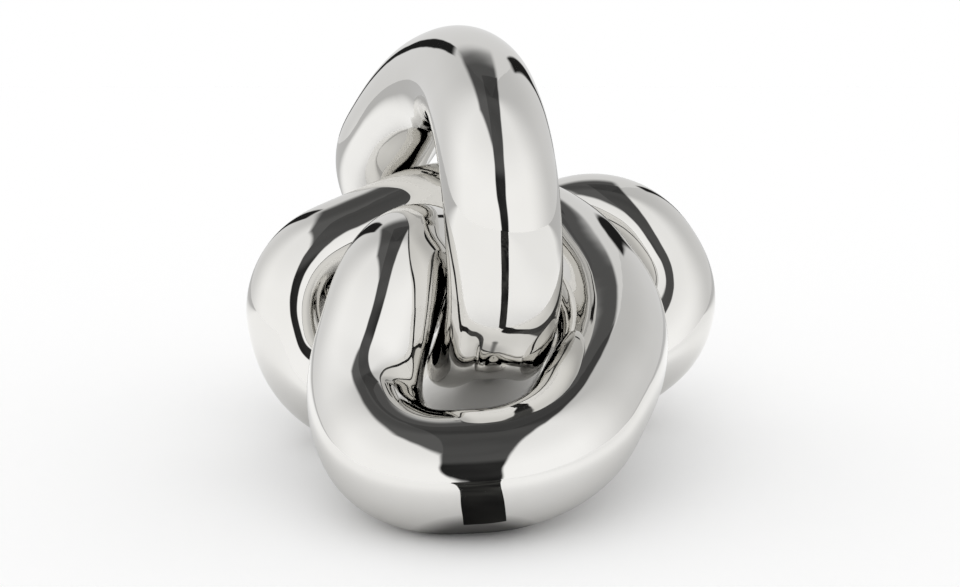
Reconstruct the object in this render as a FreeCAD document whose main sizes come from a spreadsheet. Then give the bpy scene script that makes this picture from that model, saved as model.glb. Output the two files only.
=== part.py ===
import FreeCAD, Part
import math
import os

# A free-standing knot of thick polished stainless tube.
# The tube is closed on itself. It is made of hollow bends welded end to end,
# with a backing ring inside every weld and a vent plug on the underside.
# Lengths are in millimetres, +X is to the right, +Y is away from the front and +Z is up.
# The origin is the middle of the base, on the table top.

Vector = FreeCAD.Vector
UP = Vector(0, 0, 1)

SIZES = (
    ("tube_diameter", 50.8),
    ("tube_wall", 1.65),
    ("straight_end", 3.0),
    ("ring_length", 6.0),
    ("ring_wall", 1.5),
    ("ring_clearance", 0.02),
    ("foot_flat_depth", 0.6),
    ("vent_diameter", 8.0),
    ("vent_clearance", 0.02),
)

# The corners of the tube's route in tube diameters, from the knot's middle: right, back, up.
# A straight run joins each corner to the next, and one bend rounds each corner.
CORNER_SHARES = (
    ("arch_crown", -0.07, -0.10, 2.08),
    ("arch_front", 0.17, -1.33, 1.40),
    ("front_leg", 0.24, -1.30, -0.14),
    ("front_leg_foot", -0.34, -0.31, -1.02),
    ("left_lobe_foot", -1.61, 0.20, -1.07),
    ("left_lobe_crown", -1.96, 0.42, 0.07),
    ("left_crossing", -0.26, 1.04, 0.74),
    ("right_crossing", 0.84, 0.64, 0.40),
    ("ring_right", 1.34, -0.84, -0.24),
    ("ring_bottom_right", 0.62, -2.23, -1.00),
    ("ring_bottom_left", -0.71, -2.21, -1.07),
    ("ring_left", -1.07, -1.37, -0.64),
    ("ring_crown", -0.67, -0.80, 0.69),
    ("inner_strand", -0.17, 0.40, -0.13),
    ("right_lobe_foot", 0.86, 0.47, -1.28),
    ("right_lobe_side", 2.21, 1.08, -0.48),
    ("right_lobe_crown", 1.51, 1.63, 0.64),
    ("back_strand", -0.07, 1.90, -0.07),
    ("back_limb_foot", -1.29, 1.93, 0.85),
    ("back_limb", -0.61, 1.05, 1.87),
)

VENTED = "ring_bottom_right"
VENT_DIRECTION = Vector(0, 1, -1).normalize()


def make_sheet(doc):
    """The driving dimensions, one row each: name, value."""
    sheet = doc.addObject("Spreadsheet::Sheet", "Sizes")
    for row, (name, value) in enumerate(SIZES, start=1):
        sheet.set(f"A{row}", name)
        sheet.set(f"B{row}", str(value))
        sheet.setAlias(f"B{row}", name)
    doc.recompute()
    return sheet


def bind(thing, prop, formula):
    """Ties a property to the sheet: names in the formula are cells."""
    thing.setExpression(prop, formula)


def frame_along(direction):
    """The rotation that turns +Z to a direction and keeps +X, where seams lie, on the upper side."""
    return FreeCAD.Rotation(UP, Vector(), direction, "ZXY")


class Route:
    """The tube's centre line: a closed run of corners, each rounded by an arc."""

    def __init__(self, sheet):
        tube = sheet.tube_diameter
        self.names = [row[0] for row in CORNER_SHARES]
        self.corners = [Vector(*row[1:]) * tube for row in CORNER_SHARES]
        self.straight_end = sheet.straight_end
        self.tube_radius = tube / 2
        self.stand_on_table(self.tube_radius - sheet.foot_flat_depth)

    def stand_on_table(self, lowest_axis):
        """Moves the corners so that the base's middle is the origin."""
        box = Part.Compound([self.path(i) for i in range(len(self.corners))]).BoundBox
        shift = Vector(-box.Center.x, -box.Center.y, lowest_axis - box.ZMin)
        self.corners = [corner + shift for corner in self.corners]

    def run(self, i):
        """The straight run that leaves corner i."""
        return self.corners[(i + 1) % len(self.corners)] - self.corners[i]

    def joint(self, i):
        """The middle of the run that leaves corner i, where two bends are welded."""
        return self.corners[i] + self.run(i) / 2

    def reach(self, i):
        """From corner i back and on to its arc's ends."""
        return min(self.run(i - 1).Length, self.run(i).Length) / 2 - self.straight_end

    def bend_radius(self, i):
        turn = self.run(i - 1).getAngle(self.run(i))
        return self.reach(i) / math.tan(turn / 2)

    def rests(self, i):
        """True where bend i would reach under the table top, so it is ground flat."""
        return self.path(i).BoundBox.ZMin < self.tube_radius

    def path(self, i):
        """The wire of bend i, from weld to weld: straight end, arc, straight end."""
        corner = self.corners[i]
        arriving = Vector(self.run(i - 1)).normalize()
        leaving = Vector(self.run(i)).normalize()
        first = corner - arriving * self.reach(i)
        last = corner + leaving * self.reach(i)
        inward = Vector(leaving - arriving).normalize()
        half_turn = arriving.getAngle(leaving) / 2
        radius = self.bend_radius(i)
        middle = corner + inward * (radius / math.cos(half_turn) - radius)
        return Part.Wire([
            Part.LineSegment(self.joint(i - 1), first).toShape(),
            Part.Arc(first, middle, last).toShape(),
            Part.LineSegment(last, self.joint(i)).toShape(),
        ])


def add_section(doc, name, start, direction, radius_formula):
    """A round section of the tube, square to the route at a weld."""
    section = doc.addObject("Part::Circle", name)
    section.Placement = FreeCAD.Placement(start, frame_along(direction))
    bind(section, "Radius", radius_formula)
    return section


def add_sweep(doc, name, section, path):
    """A solid round bar: the section carried along the path."""
    sweep = doc.addObject("Part::Sweep", name)
    sweep.Sections = [section]
    sweep.Spine = (path, [f"Edge{n + 1}" for n in range(len(path.Shape.Edges))])
    sweep.Solid = True
    return sweep


def add_boolean(doc, kind, name, base, tool):
    """Part::Cut keeps the base less the tool. Part::Common keeps what both have."""
    result = doc.addObject(kind, name)
    result.Base = base
    result.Tool = tool
    return result


def add_hollow_bend(doc, route, i):
    """One bend of the tube with its two straight ends, open at both welds."""
    name = route.names[i]
    path = doc.addObject("Part::Feature", f"path_{name}")
    path.Shape = route.path(i)
    weld = (route.joint(i - 1), route.run(i - 1))
    outer = add_section(doc, f"outer_{name}", *weld, "Sizes.tube_diameter / 2")
    bore = add_section(doc, f"bore_{name}", *weld, "Sizes.tube_diameter / 2 - Sizes.tube_wall")
    bar = add_sweep(doc, f"bar_{name}", outer, path)
    core = add_sweep(doc, f"core_{name}", bore, path)
    return add_boolean(doc, "Part::Cut", f"shell_{name}", bar, core)


def add_room(doc, route):
    """The space over the table top, with room for the whole knot."""
    reach = 2 * max(corner.Length for corner in route.corners)
    room = doc.addObject("Part::Box", "room")
    room.Length = 2 * reach
    room.Width = 2 * reach
    room.Height = reach
    room.Placement.Base = Vector(-reach, -reach, 0)
    return room


def add_vent_pin(doc, route, name, radius_formula):
    """A pin from the middle of the vented bend's bore out through its wall."""
    i = route.names.index(VENTED)
    arc = route.path(i).Edges[1]
    middle = (arc.FirstParameter + arc.LastParameter) / 2
    tangent = arc.tangentAt(middle)
    outward = VENT_DIRECTION - tangent * VENT_DIRECTION.dot(tangent)
    pin = doc.addObject("Part::Cylinder", name)
    pin.Placement = FreeCAD.Placement(arc.valueAt(middle), frame_along(outward))
    bind(pin, "Radius", radius_formula)
    bind(pin, "Height", "Sizes.tube_diameter / 2 + Sizes.tube_wall")
    return pin


def add_vent(doc, route, shell):
    """The vented bend with its hole, and the plug that fills the hole flush."""
    drill = add_vent_pin(doc, route, "vent_drill", "Sizes.vent_diameter / 2")
    pin = add_vent_pin(doc, route, "vent_pin", "Sizes.vent_diameter / 2 - Sizes.vent_clearance")
    plug = add_boolean(doc, "Part::Common", "plug", shell, pin)
    return add_boolean(doc, "Part::Cut", "vented", shell, drill), plug


def add_ring(doc, route, i):
    """The backing ring inside the weld after bend i, half in each bend's straight end."""
    along = Vector(route.run(i)).normalize()
    start = route.joint(i) - along * doc.Sizes.ring_length / 2
    outside = "Sizes.tube_diameter / 2 - Sizes.tube_wall - Sizes.ring_clearance"
    parts = []
    for name, radius in (("outside", outside), ("inside", f"{outside} - Sizes.ring_wall")):
        part = doc.addObject("Part::Cylinder", f"ring_{name}_{i}")
        part.Placement = FreeCAD.Placement(start, frame_along(along))
        bind(part, "Radius", radius)
        bind(part, "Height", "Sizes.ring_length")
        parts.append(part)
    return add_boolean(doc, "Part::Cut", f"ring_{i}", *parts)


def build(doc):
    """All sub-parts of the knot, by node name."""
    route = Route(make_sheet(doc))
    room = add_room(doc, route)
    pieces = {}
    for i, name in enumerate(route.names):
        bend = add_hollow_bend(doc, route, i)
        if name == VENTED:
            bend, pieces["vent_plug"] = add_vent(doc, route, bend)
        if route.rests(i):
            bend = add_boolean(doc, "Part::Common", f"foot_{name}", bend, room)
        pieces[f"bend_{name}"] = bend
        pieces[f"backing_ring_{i + 1:02d}"] = add_ring(doc, route, i)
    for name, piece in pieces.items():
        piece.Label = name
    doc.recompute()
    return route, pieces


def check_pieces(doc, pieces):
    """Stops the build unless every object is up to date and every sub-part is one valid solid."""
    for thing in doc.Objects:
        if "Invalid" in thing.State or "Error" in thing.State:
            raise RuntimeError(f"{thing.Label}: {thing.State}")
    for name, piece in pieces.items():
        shape = piece.Shape
        if shape.isNull() or not shape.isValid() or len(shape.Solids) != 1:
            raise RuntimeError(f"{name} is not one valid solid")


def check_route(doc, route, pieces):
    """Prints each bend's radius and its volume against section times length, and the least gap."""
    tube = doc.Sizes.tube_diameter
    section = math.pi * (tube - doc.Sizes.tube_wall) * doc.Sizes.tube_wall
    paths = [route.path(i) for i in range(len(route.names))]
    for i, name in enumerate(route.names):
        ratio = pieces[f"bend_{name}"].Shape.Volume / (section * paths[i].Length)
        print(f"{name}: bend radius {route.bend_radius(i):.1f} mm, volume ratio {ratio:.4f}")
    gaps = []
    for i, name in enumerate(route.names):
        for j in range(i + 3, min(len(route.names), len(route.names) + i - 2)):
            gap = paths[i].distToShape(paths[j])[0] - tube
            gaps.append((gap, name, route.names[j]))
    for gap, one, other in sorted(gaps)[:8]:
        print(f"{one} to {other}: {gap:.2f} mm apart")


def main():
    doc = FreeCAD.newDocument("MetalKnot")
    route, pieces = build(doc)
    check_pieces(doc, pieces)
    check_route(doc, route, pieces)
    os.makedirs("parts", exist_ok=True)
    for name, piece in pieces.items():
        piece.Shape.exportStep(f"parts/{name}.step")


main()
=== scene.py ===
import math

import bpy
import numpy as np
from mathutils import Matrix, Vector


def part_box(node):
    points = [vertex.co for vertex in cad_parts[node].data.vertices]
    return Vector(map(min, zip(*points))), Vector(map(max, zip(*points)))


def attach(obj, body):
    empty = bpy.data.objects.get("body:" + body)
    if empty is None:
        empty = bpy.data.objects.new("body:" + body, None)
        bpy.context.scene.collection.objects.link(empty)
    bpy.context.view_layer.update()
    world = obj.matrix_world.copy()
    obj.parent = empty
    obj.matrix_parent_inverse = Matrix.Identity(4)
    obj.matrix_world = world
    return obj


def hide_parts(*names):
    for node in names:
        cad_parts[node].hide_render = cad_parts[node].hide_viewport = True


# A closed knot of mirror-polished tube on a plain white floor, in a plain white studio.
# Lengths are in metres, +X is to the right, +Y is away from the front and +Z is up.

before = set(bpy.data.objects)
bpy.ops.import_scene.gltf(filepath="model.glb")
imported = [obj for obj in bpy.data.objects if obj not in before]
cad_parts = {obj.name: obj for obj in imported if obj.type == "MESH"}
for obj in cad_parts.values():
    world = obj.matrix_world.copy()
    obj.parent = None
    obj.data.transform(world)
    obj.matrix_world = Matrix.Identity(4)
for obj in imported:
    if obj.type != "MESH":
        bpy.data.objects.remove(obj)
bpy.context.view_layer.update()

# The tube's route has the same corners as the part's source: right, back and up in tube diameters.
TUBE = 0.0508
STRAIGHT_END = 0.003
FOOT_FLAT_DEPTH = 0.0006
CORNER_SHARES = (
    ("arch_crown", -0.07, -0.10, 2.08),
    ("arch_front", 0.17, -1.33, 1.40),
    ("front_leg", 0.24, -1.30, -0.14),
    ("front_leg_foot", -0.34, -0.31, -1.02),
    ("left_lobe_foot", -1.61, 0.20, -1.07),
    ("left_lobe_crown", -1.96, 0.42, 0.07),
    ("left_crossing", -0.26, 1.04, 0.74),
    ("right_crossing", 0.84, 0.64, 0.40),
    ("ring_right", 1.34, -0.84, -0.24),
    ("ring_bottom_right", 0.62, -2.23, -1.00),
    ("ring_bottom_left", -0.71, -2.21, -1.07),
    ("ring_left", -1.07, -1.37, -0.64),
    ("ring_crown", -0.67, -0.80, 0.69),
    ("inner_strand", -0.17, 0.40, -0.13),
    ("right_lobe_foot", 0.86, 0.47, -1.28),
    ("right_lobe_side", 2.21, 1.08, -0.48),
    ("right_lobe_crown", 1.51, 1.63, 0.64),
    ("back_strand", -0.07, 1.90, -0.07),
    ("back_limb_foot", -1.29, 1.93, 0.85),
    ("back_limb", -0.61, 1.05, 1.87),
)
STEP = 0.0014      # between the tube's rings of vertices
AROUND = 96           # vertices in one ring
BLEND = 0.004                               # how far a bend's curvature eases in and out
TRIAL_POINTS = 200                          # in each bend, to find the knot's middle and height

# The vent plug's outer face: distance from its middle and height over the tube, in millimetres.
PLUG_PROFILE = ((0.0, 0.06), (1.2, 0.06), (2.4, 0.06), (3.2, 0.055), (3.7, 0.03), (3.98, -0.05))
PLUG_AROUND = 48


def bend_points(corner, before, after, count):
    """Points from weld to weld round one corner, and their length: straight end, arc, straight end."""
    arriving = (corner - before) / np.linalg.norm(corner - before)
    leaving = (after - corner) / np.linalg.norm(after - corner)
    half_in = np.linalg.norm(corner - before) / 2
    half_out = np.linalg.norm(after - corner) / 2
    reach = min(half_in, half_out) - STRAIGHT_END
    turn = math.acos(float(arriving @ leaving))
    radius = reach / math.tan(turn / 2)
    inward = leaving - arriving * (arriving @ leaving)
    inward /= np.linalg.norm(inward)
    start = corner - arriving * reach
    lengths = (half_in - reach, radius * turn, half_out - reach)
    points = []
    for along in np.linspace(0, sum(lengths), count, endpoint=False):
        if along < lengths[0]:
            points.append(start - arriving * (lengths[0] - along))
        elif along < lengths[0] + lengths[1]:
            angle = (along - lengths[0]) / radius
            points.append(start + radius * (arriving * math.sin(angle) + inward * (1 - math.cos(angle))))
        else:
            points.append(corner + leaving * (reach + along - lengths[0] - lengths[1]))
    return points, sum(lengths)


def make_route():
    """The closed centre line, the index at which each bend starts, and where the knot's middle is."""
    corners = np.array([row[1:] for row in CORNER_SHARES]) * TUBE
    bends = list(zip(corners, np.roll(corners, 1, 0), np.roll(corners, -1, 0)))
    trial = [bend_points(*bend, TRIAL_POINTS) for bend in bends]
    exact = np.concatenate([points for points, length in trial])
    middle = (exact.max(0) + exact.min(0)) / 2
    lowest = exact[:, 2].min()
    shift = np.array([-middle[0], -middle[1], TUBE / 2 - FOOT_FLAT_DEPTH - lowest])
    line, starts = [], []
    for bend, (points, length) in zip(bends, trial):
        starts.append(len(line))
        line += bend_points(*bend, round(length / STEP))[0]
    line = np.array(line) + shift
    # A tube's curvature doesn't jump where an arc starts, so it is eased along the line.
    waves = np.fft.fftfreq(len(line), d=STEP)
    easing = np.exp(-2 * (math.pi * waves * BLEND) ** 2)
    line = np.fft.ifft(np.fft.fft(line, axis=0) * easing[:, None], axis=0).real
    return line, starts, shift


def make_frames(line):
    """Two directions square to the line at each point, with no twist and no seam."""
    tangent = np.roll(line, -1, 0) - np.roll(line, 1, 0)
    tangent /= np.linalg.norm(tangent, axis=1)[:, None]
    side = np.cross(tangent[0], (0.0, 0.0, 1.0))
    sides = []
    for t in tangent:
        side = side - t * (side @ t)
        side /= np.linalg.norm(side)
        sides.append(side)
    last = side - tangent[0] * (side @ tangent[0])
    last /= np.linalg.norm(last)
    twist = math.atan2(float(np.cross(last, sides[0]) @ tangent[0]), float(last @ sides[0]))
    sides = np.array(sides)
    ups = np.cross(tangent, sides)
    angle = (np.arange(len(line)) / len(line) * twist)[:, None]
    return sides * np.cos(angle) + ups * np.sin(angle), ups * np.cos(angle) - sides * np.sin(angle)


LINE, STARTS, MIDDLE = make_route()
SIDES, UPS = make_frames(LINE)


def nearest_on_line(point):
    return LINE[int(np.argmin(np.linalg.norm(LINE - point, axis=1)))]


def make_mesh(name, vertices, faces, normals=None, smooth=True):
    mesh = bpy.data.meshes.new(name)
    mesh.from_pydata(vertices, [], faces)
    if smooth:
        mesh.polygons.foreach_set("use_smooth", [True] * len(mesh.polygons))
    if normals is not None:
        mesh.normals_split_custom_set_from_vertices(normals)
    thing = bpy.data.objects.new(name, mesh)
    bpy.context.scene.collection.objects.link(thing)
    return thing


def ring_faces(rings, around):
    """Four-sided faces that join each ring of vertices to the next."""
    faces = []
    for first in range(0, (rings - 1) * around, around):
        for a in range(around):
            b = (a + 1) % around
            faces.append((first + a, first + b, first + around + b, first + around + a))
    return faces


def make_bend(i):
    """The polished outside of one bend, from weld to weld, ground flat where it meets the table."""
    first = STARTS[i]
    last = STARTS[(i + 1) % len(STARTS)] or len(LINE)
    rings = np.arange(first, last + 1) % len(LINE)
    angles = (np.arange(AROUND) / AROUND * 2 * math.pi)[None, :, None]
    out = SIDES[rings, None] * np.cos(angles) + UPS[rings, None] * np.sin(angles)
    points = LINE[rings, None] + out * TUBE / 2
    ground = points[..., 2] < 0
    points[ground, 2] = 0
    out[ground] = (0, 0, -1)
    vertices = points.reshape(-1, 3).tolist()
    normals = out.reshape(-1, 3).tolist()
    return make_mesh(f"tube_{CORNER_SHARES[i][0]}", vertices, ring_faces(len(rings), AROUND), normals)


def make_plug():
    """The vent plug's outer face: a disc that follows the tube, with a fine rounded rim."""
    low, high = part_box("vent_plug")
    inside = np.array((low + high) / 2)
    root = nearest_on_line(inside)
    outward = (inside - root) / np.linalg.norm(inside - root)
    a = np.cross(outward, (0.0, 0.0, 1.0))
    a /= np.linalg.norm(a)
    b = np.cross(outward, a)
    centre = root + outward * TUBE / 2
    vertices = []
    for reach, lift in PLUG_PROFILE:
        for k in range(PLUG_AROUND):
            angle = k / PLUG_AROUND * 2 * math.pi
            flat = centre + (a * math.cos(angle) + b * math.sin(angle)) * reach / 1000
            root = nearest_on_line(flat)
            out = (flat - root) / np.linalg.norm(flat - root)
            vertices.append(tuple(root + out * (TUBE / 2 + lift / 1000)))
    return make_mesh("vent_plug_face", vertices, ring_faces(len(PLUG_PROFILE), PLUG_AROUND))


class Nodes:
    """A node tree, with short calls that add nodes and join them."""

    def __init__(self, tree):
        self.tree = tree
        tree.nodes.clear()

    def add(self, kind, values=None, **settings):
        node = self.tree.nodes.new(kind)
        for key, value in settings.items():
            setattr(node, key, value)
        for key, value in (values or {}).items():
            if isinstance(value, bpy.types.NodeSocket):
                self.tree.links.new(value, node.inputs[key])
            else:
                node.inputs[key].default_value = value
        return node

    def place(self):
        """Where a point of the surface lies, in the object's own coordinates."""
        return self.add("ShaderNodeTexCoord").outputs["Object"]

    def for_metal(self):
        """1 for a ray that the polished metal reflects, else 0."""
        return self.add("ShaderNodeLightPath").outputs["Is Glossy Ray"]

    def math(self, operation, *values):
        return self.add("ShaderNodeMath", dict(enumerate(values)), operation=operation).outputs[0]

    def product(self, first, *others):
        for other in others:
            first = self.math("MULTIPLY", first, other)
        return first

    def largest(self, first, *others):
        for other in others:
            first = self.math("MAXIMUM", first, other)
        return first

    def choose(self, switch, off, on):
        return self.add("ShaderNodeMix", {0: switch, 2: off, 3: on}).outputs[0]

    def noise(self, where, scale, detail=2.0, roughness=0.5):
        values = {"Vector": where, "Scale": scale, "Detail": detail, "Roughness": roughness}
        return self.add("ShaderNodeTexNoise", values).outputs["Fac"]

    def ramp(self, value, *stops):
        node = self.add("ShaderNodeValToRGB", {"Fac": value})
        marks = node.color_ramp.elements
        while len(marks) < len(stops):
            marks.new(0.5)
        for mark, (position, colour) in zip(marks, stops):
            mark.position = position
            mark.color = (*colour, 1.0)
        return node.outputs["Color"]

    def span(self, value, low, high, to_low=0.0, to_high=1.0, smooth=True):
        """The value carried from one span to another, and held at its ends."""
        values = {"Value": value, "From Min": low, "From Max": high, "To Min": to_low, "To Max": to_high}
        kind = "SMOOTHSTEP" if smooth else "LINEAR"
        return self.add("ShaderNodeMapRange", values, interpolation_type=kind).outputs["Result"]

    def bump(self, height, distance, normal=None):
        values = {"Strength": 1.0, "Distance": distance, "Height": height}
        if normal is not None:
            values["Normal"] = normal
        return self.add("ShaderNodeBump", values).outputs[0]

    def surface(self, shader):
        self.add("ShaderNodeOutputMaterial", {"Surface": shader.outputs[0]})

    def metal(self, tint, roughness, normal):
        self.surface(self.add("ShaderNodeBsdfPrincipled", {
            "Base Color": tint,
            "Metallic": 1.0,
            "Roughness": roughness,
            "Normal": normal,
        }))


def new_material(name):
    material = bpy.data.materials.new(name)
    material.use_nodes = True
    return material, Nodes(material.node_tree)


def polished_tube():
    """Stainless tube, ground and polished to a mirror: faint waves, buffing haze and fine hairlines."""
    material, n = new_material("polished_tube")
    where = n.place()
    tint = n.ramp(n.noise(where, 22.0, 3.0), (0.30, (0.725, 0.715, 0.690)), (0.70, (0.765, 0.757, 0.737)))
    haze = n.noise(where, 60.0, 4.0, 0.6)
    hairlines = n.noise(where, 900.0, 1.0)
    hazy = n.span(haze, 0.35, 0.75, 0.012, 0.040, smooth=False)
    scuffed = n.span(hairlines, 0.60, 0.80, 0.0, 0.012, smooth=False)
    waves = n.bump(n.noise(where, 20.0, 3.0, 0.45), 0.00045)
    n.metal(tint, n.math("ADD", hazy, scuffed), n.bump(haze, 0.000004, waves))
    return material


def plug_steel():
    """The plug's polish: the tube's, a touch hazier, with the fine marks of its own polishing."""
    material, n = new_material("vent_plug_steel")
    haze = n.noise(n.place(), 300.0, 3.0)
    tint = n.ramp(haze, (0.35, (0.78, 0.77, 0.74)), (0.70, (0.85, 0.84, 0.82)))
    n.metal(tint, n.span(haze, 0.3, 0.7, 0.05, 0.14, smooth=False), n.bump(haze, 0.00001))
    return material


def ring_steel():
    """Machined backing rings: turned marks, and heat tint from the weld."""
    material, n = new_material("ring_steel")
    where = n.place()
    heat = n.noise(where, 35.0, 3.0)
    marks = n.noise(where, 700.0, 2.0)
    tint = n.ramp(heat, (0.30, (0.50, 0.51, 0.52)), (0.58, (0.56, 0.53, 0.47)), (0.75, (0.38, 0.37, 0.45)))
    n.metal(tint, n.span(marks, 0.3, 0.7, 0.25, 0.45, smooth=False), n.bump(marks, 0.00005))
    return material


def dress(piece, node, material):
    """The piece takes a CAD node's place on the knot's one body."""
    piece.data.materials.append(material)
    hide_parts(node)
    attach(piece, "root")


def make_knot():
    """All bends and the plug as smooth meshes, and the CAD's own backing rings."""
    polish = polished_tube()
    steel = ring_steel()
    for i, row in enumerate(CORNER_SHARES):
        dress(make_bend(i), f"bend_{row[0]}", polish)
    dress(make_plug(), "vent_plug", plug_steel())
    for name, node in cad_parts.items():
        if name.startswith("backing_ring"):
            node.data.materials.clear()
            node.data.materials.append(steel)


def make_floor():
    """A plain white floor that keeps the object's soft shadow. The metal alone sees it with painted shade
    and a painted pool of light.
    """
    far = 4.0
    corners = [(-far, -far, 0), (far, -far, 0), (far, far, 0), (-far, far, 0)]
    front_foot = (-0.006, -0.108, 0.0)
    floor = make_mesh("floor", corners, [(0, 1, 2, 3)], smooth=False)
    material, n = new_material("floor_paper")
    metal = n.for_metal()
    where = n.place()
    distance = n.add("ShaderNodeVectorMath", {0: where}, operation="LENGTH").outputs["Value"]
    contact = n.add("ShaderNodeVectorMath", {0: where, 1: front_foot}, operation="DISTANCE").outputs["Value"]
    spot = n.add("ShaderNodeSeparateXYZ", {"Vector": where}).outputs
    # Painted shade for the metal alone: a painted shadow under the knot and under the front ring's foot, and
    # the floor painted darker behind and to the right.
    painted_shadow_under_knot = n.span(distance, 0.10, 0.25, 0.20, 0.0)
    painted_shadow_at_foot = n.span(contact, 0.014, 0.034, 0.80, 0.0)
    behind = n.span(spot["Y"], 0.20, 0.60, 0.0, 0.55)
    rightward = n.span(spot["X"], 0.10, 0.60, 0.0, 0.09)
    grey = n.largest(painted_shadow_under_knot, painted_shadow_at_foot, behind, rightward)
    shade = n.math("SUBTRACT", 1.0, n.product(metal, grey))
    colour = n.add("ShaderNodeCombineColor", {"Red": shade, "Green": shade, "Blue": shade}).outputs[0]
    paper = n.add("ShaderNodeBsdfDiffuse", {"Color": colour})
    # Further off, a painted pool of light: the floor glows for the metal alone, standing in for the soft
    # lights' spill.
    painted_spill = n.product(metal, n.span(distance, 0.11, 0.30, 0.0, 0.13))
    light = n.add("ShaderNodeEmission", {"Strength": painted_spill})
    n.surface(n.add("ShaderNodeAddShader", {0: paper.outputs[0], 1: light.outputs[0]}))
    floor.data.materials.append(material)


def make_painted_reflection_strip():
    """A painted reflection: a black strip on the floor in front, between the two soft lights. Only the metal
    sees it.
    """
    start = Vector((-0.001, -0.124, 0))
    aside = 0.03        # how far right it drifts for each metre ahead
    rows = ((0.0, 0.0095), (0.1, 0.0195), (0.25, 0.037), (0.45, 0.062), (0.9, 0.125), (4.1, 0.50))
    vertices = []
    for ahead, half_width in rows:
        middle = start + Vector((aside * ahead, -ahead, 0))
        vertices += [middle - Vector((half_width, 0, 0)), middle + Vector((half_width, 0, 0))]
    faces = [(k, k + 2, k + 3, k + 1) for k in range(0, len(vertices) - 2, 2)]
    painted_strip = make_mesh("painted_dark_strip", vertices, faces, smooth=False)
    painted_strip.location.z = 0.0002
    material, n = new_material("dark_reflection_card")
    black, grey = (0.012, 0.012, 0.012), (0.055, 0.055, 0.052)
    tone = n.ramp(n.noise(n.place(), 9.0, 3.0), (0.38, black), (0.65, grey))
    n.surface(n.add("ShaderNodeBsdfDiffuse", {"Color": tone}))
    painted_strip.data.materials.append(material)
    # Painted reflection: hidden from the camera, from diffuse light and from shadows, so only the metal
    # shows it.
    painted_strip.visible_camera = False
    painted_strip.visible_diffuse = False
    painted_strip.visible_shadow = False


def front_gap(n, direction, x, y, z):
    """The black gap between the soft lights: up from the front horizon and on past the zenith."""
    low_drift = n.span(z, 0.0, 0.40, 0.050, -0.02)
    high_drift = n.span(z, 0.4, 0.6, 0.0, 0.01)
    aside = n.math("ABSOLUTE", n.math("ADD", x, n.product(y, n.math("ADD", low_drift, high_drift))))
    half_width = n.span(z, 0.0, 0.45, 0.115, 0.160, smooth=False)
    inside = n.span(n.math("SUBTRACT", aside, half_width), -0.02, 0.02, 1.0, 0.0)
    mottle = n.span(n.noise(direction, 2.5, 1.0), 0.35, 0.65, 0.0, 0.015, smooth=False)
    black = n.math("SUBTRACT", n.span(z, 0.48, 0.62, 0.99, 0.93), mottle)
    ends_behind = n.span(y, 0.34, 0.42, 1.0, 0.0)
    return n.product(black, inside, ends_behind)


def ceiling_strip(n, x, y, z):
    """A dim grey strip overhead, on both sides of the gap, that ends behind the zenith."""
    left = n.span(y, -0.75, -0.15, -0.10, -0.36, smooth=False)
    right = n.span(y, -0.75, 0.10, 0.06, 0.14, smooth=False)
    past_left = n.span(n.math("SUBTRACT", x, left), -0.05, 0.03, 0.0, 0.88)
    short_of_right = n.span(n.math("SUBTRACT", x, right), -0.03, 0.05, 1.0, 0.0)
    ends_behind = n.span(y, 0.46, 0.70, 1.0, 0.0)
    overhead = n.span(z, 0.60, 0.74, 0.0, 1.0)
    return n.product(past_left, short_of_right, ends_behind, overhead)


def side_gaps(n, x, y, z):
    """A dark gap on each side, from the backdrop to the soft light, and where the backdrop lies."""
    bearing = n.math("ARCTAN2", n.math("ABSOLUTE", x), y)
    rightward = n.math("GREATER_THAN", x, 0.0)
    lean = n.choose(rightward, math.radians(34), math.radians(29))
    centre = n.span(z, -0.1, 0.75, math.radians(16), lean, smooth=False)
    left_breadth = n.span(z, -0.1, 0.5, 0.035, 0.085, smooth=False)
    breadth = n.product(left_breadth, n.span(x, -0.1, 0.1, 1.0, 0.6, smooth=False))
    beside = n.math("SUBTRACT", n.math("ABSOLUTE", n.math("SUBTRACT", bearing, centre)), breadth)
    top = n.math("MULTIPLY_ADD", rightward, -0.08, 0.64)
    below_top = n.span(n.math("SUBTRACT", z, top), 0.0, 0.08, 1.0, 0.0)
    gap = n.product(n.span(beside, -0.01, 0.02, 0.98, 0.0), below_top)
    return gap, n.math("GREATER_THAN", centre, bearing)


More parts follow.
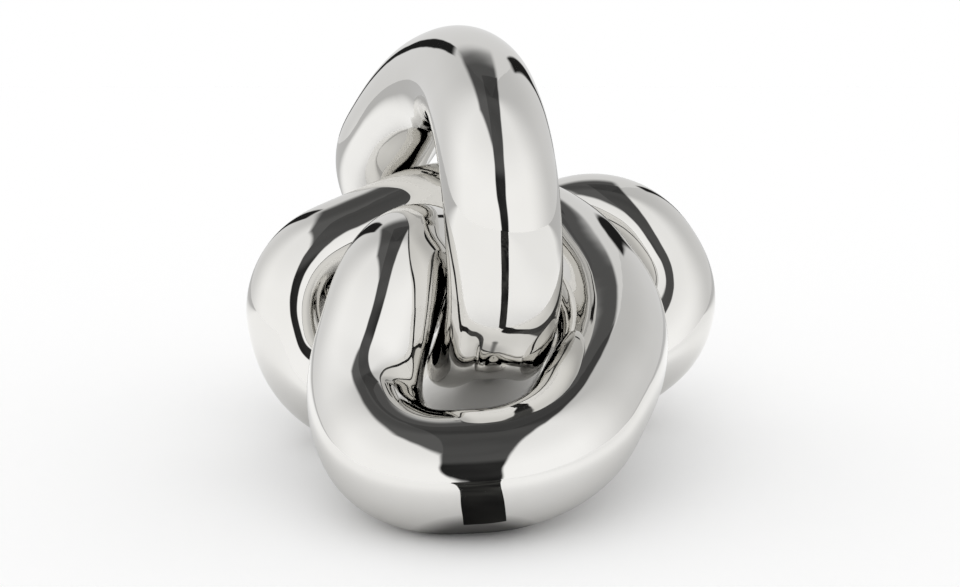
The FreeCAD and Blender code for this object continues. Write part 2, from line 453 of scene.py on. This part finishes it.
def soft_lights(n, x, y, z):
    """The soft lights' level. They fall off towards their far edges and upwards, the right one more."""
    turn = n.math("ARCTAN2", x, n.math("MULTIPLY", y, -1.0))
    left = n.span(turn, -2.3, -1.3, 0.80, 1.16)
    right = n.span(turn, 0.9, 2.0, 1.0, 0.64)
    upward = n.span(z, 0.3, 0.98, 1.0, 0.86)
    return n.product(left, right, upward)


def make_world():
    """A plain white studio. The metal sees it as a backdrop and two soft lights, with dark gaps between."""
    backdrop_level = 0.80
    world = bpy.data.worlds.new("studio")
    bpy.context.scene.world = world
    world.use_nodes = True
    n = Nodes(world.node_tree)
    direction = n.add("ShaderNodeTexCoord").outputs["Generated"]
    x, y, z = n.add("ShaderNodeSeparateXYZ", {"Vector": direction}).outputs
    gap, on_backdrop = side_gaps(n, x, y, z)
    dark = n.largest(front_gap(n, direction, x, y, z), ceiling_strip(n, x, y, z), gap)
    glow = n.choose(on_backdrop, soft_lights(n, x, y, z), backdrop_level)
    level = n.product(n.math("SUBTRACT", 1.0, dark), glow)
    strength = n.choose(n.for_metal(), 1.0, level)
    shader = n.add("ShaderNodeBackground", {"Color": (1.0, 1.0, 1.0, 1.0), "Strength": strength})
    n.add("ShaderNodeOutputWorld", {"Surface": shader.outputs[0]})


def make_camera():
    """A view from the front, a little above, at about 12 tube diameters."""
    elevation = math.radians(11.615)
    distance = 0.62411
    picture_width = 960         # in pixels, as are the two shifts
    shift_right, shift_up = -0.184, -3.145
    camera = bpy.data.objects.new("camera", bpy.data.cameras.new("camera"))
    bpy.context.scene.collection.objects.link(camera)
    away = Vector((0, -math.cos(elevation), math.sin(elevation)))
    camera.location = Vector(MIDDLE) + away * distance
    camera.rotation_euler = (math.radians(90) - elevation, 0, 0)
    camera.data.lens = 47.753
    camera.data.shift_x = shift_right / picture_width
    camera.data.shift_y = shift_up / picture_width
    camera.data.clip_start = 0.01
    bpy.context.scene.camera = camera


make_knot()
make_floor()
make_painted_reflection_strip()
make_world()
make_camera()
bpy.context.scene.view_settings.view_transform = "Standard"
